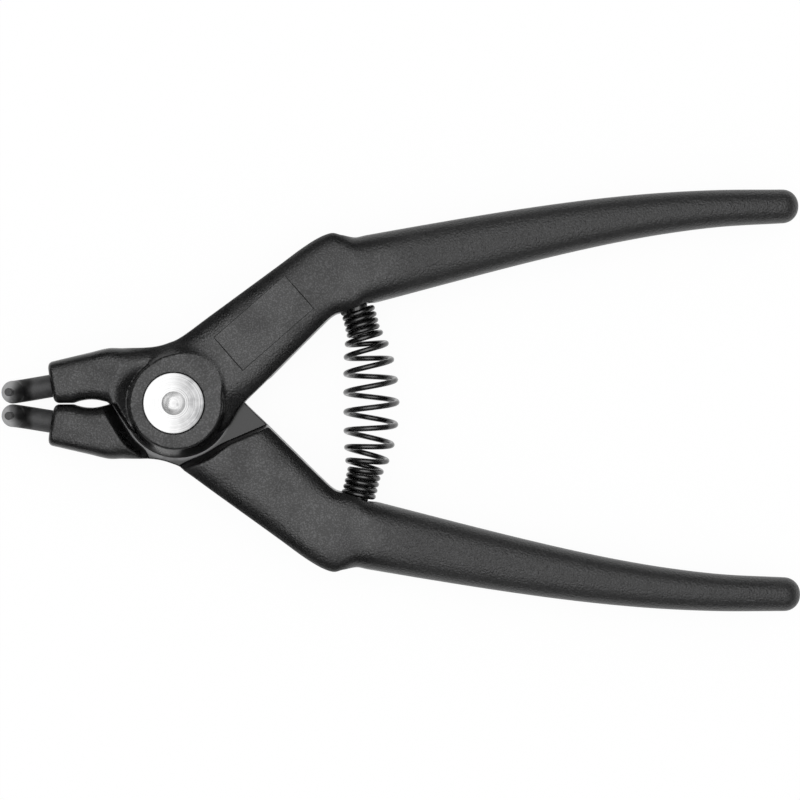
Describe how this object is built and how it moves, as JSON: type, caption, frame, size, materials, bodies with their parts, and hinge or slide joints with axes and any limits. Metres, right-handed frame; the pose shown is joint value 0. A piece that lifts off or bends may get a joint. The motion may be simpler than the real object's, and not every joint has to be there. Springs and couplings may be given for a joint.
{
  "type": "circlip pliers",
  "caption": "Spring-closed circlip pliers for external rings, with lapped black forged levers, a flush rivet pivot and round steel tips bent at right angles.",
  "frame": {"origin": "on the pivot axis, at the rear boss face where the rivet ends flush", "axes": "+X from the pivot to the handle ends, +Y to the upper handle, +Z along the pivot axis to the front boss and the tip pins"},
  "size_m": [0.1296, 0.0686, 0.0133],
  "materials": {
    "forged_black": "satin black with a fine sandy grain",
    "tip_steel": "dark satin steel",
    "turned_steel": "bright turned face",
    "spring_black": "blackened and oiled"
  },
  "bodies": {
    "rear": {"rear_lever": "forged_black", "lower_tip": "tip_steel", "pivot_rivet": "turned_steel", "lower_spring_stud": "spring_black", "return_spring": "spring_black"},
    "front": {"front_lever": "forged_black", "upper_tip": "tip_steel", "upper_spring_stud": "spring_black"}
  },
  "joints": [
    {"name": "handle_squeeze", "type": "hinge", "parent": "rear", "child": "front", "pos_m": [0, 0, 0.0048], "axis": [0, 0, -1], "range_deg": [0, 22], "stiffness_Nm_per_rad": 1.8, "springref_deg": -14.32, "deforming": ["return_spring"]}
  ]
}
